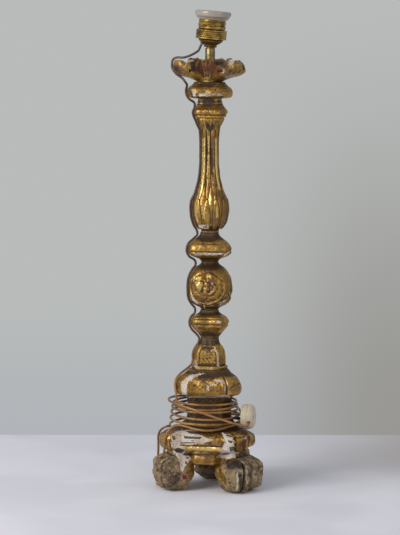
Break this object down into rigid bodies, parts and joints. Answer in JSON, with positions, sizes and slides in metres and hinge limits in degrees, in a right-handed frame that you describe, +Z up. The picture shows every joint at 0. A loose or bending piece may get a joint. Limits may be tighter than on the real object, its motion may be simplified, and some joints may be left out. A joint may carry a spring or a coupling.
{
  "type": "candlestick lamp base",
  "caption": "Three-sided carved and gilded candlestick on paw feet, fitted as a table lamp with a brass holder, its flex wound round the waist.",
  "frame": {"origin": "on the ground, at the middle of the box of the stand without its flex and plug", "axes": "+Z up along the stem, the front long face looks along -Y, the front corners point to -150 and -30 degrees, +X is the right of that face"},
  "size_m": [0.1586, 0.1464, 0.6588],
  "materials": {
    "gilding": "worn water gilding over gesso on carved wood",
    "paw_paint": "rubbed dull paint over carved wood",
    "bare_wood": "bare turned wood",
    "aged_brass": "aged, satin",
    "porcelain": "white glaze",
    "steel": "dull",
    "flex": "smooth brown-gold sheath",
    "plug_plastic": "ivory moulding",
    "bakelite": "dark moulding"
  },
  "bodies": {
    "stand": {"paw_foot_front_left": "paw_paint", "paw_foot_front_right": "paw_paint", "paw_foot_back": "paw_paint", "foot_dowel_front_left": "bare_wood", "foot_dowel_front_right": "bare_wood", "foot_dowel_back": "bare_wood", "base_block": "gilding", "waist_block": "gilding", "lower_knop": "gilding", "bell_block": "gilding", "small_knop": "gilding", "ball_knop": "gilding", "upper_knop": "gilding", "vase_baluster": "gilding", "shaft_collar": "gilding", "pan_collar": "gilding", "drip_pan": "gilding", "brass_tube": "aged_brass", "threaded_nipple": "aged_brass", "holder_cap": "aged_brass", "grub_screw": "steel", "cord_bush": "bakelite", "lock_nut": "aged_brass", "porcelain_insert": "porcelain", "terminal_screw_left": "steel", "terminal_screw_right": "steel", "side_contact": "aged_brass", "screw_shell": "aged_brass", "plug_cover": "plug_plastic", "plug_base": "plug_plastic", "plug_pin_lower": "aged_brass", "plug_pin_upper": "aged_brass", "plug_screw_front": "steel", "plug_screw_rear": "steel", "cord_drop": "flex", "cord_winding": "flex", "cord_hanging_loop": "flex", "cord_tail": "flex"},
    "holder_shell": {"holder_shell": "aged_brass"},
    "shade_ring": {"shade_ring": "porcelain"},
    "centre_contact": {"centre_contact": "aged_brass"}
  },
  "joints": [
    {"name": "holder_shell_unscrews", "type": "hinge", "parent": "stand", "child": "holder_shell", "pos_m": [0, -0.00992, 0.6068], "axis": [0.0856, 0.0166, 0.9962], "range_deg": [0, 720]},
    {"name": "shade_ring_unscrews", "type": "hinge", "parent": "holder_shell", "child": "shade_ring", "pos_m": [0, -0.00992, 0.6068], "axis": [0.0856, 0.0166, 0.9962], "range_deg": [0, 810]},
    {"name": "centre_contact_press", "type": "slide", "parent": "stand", "child": "centre_contact", "axis": [0.0856, 0.0166, 0.9962], "range_m": [-0.0015, 0], "stiffness_N_per_m": 1500}
  ]
}
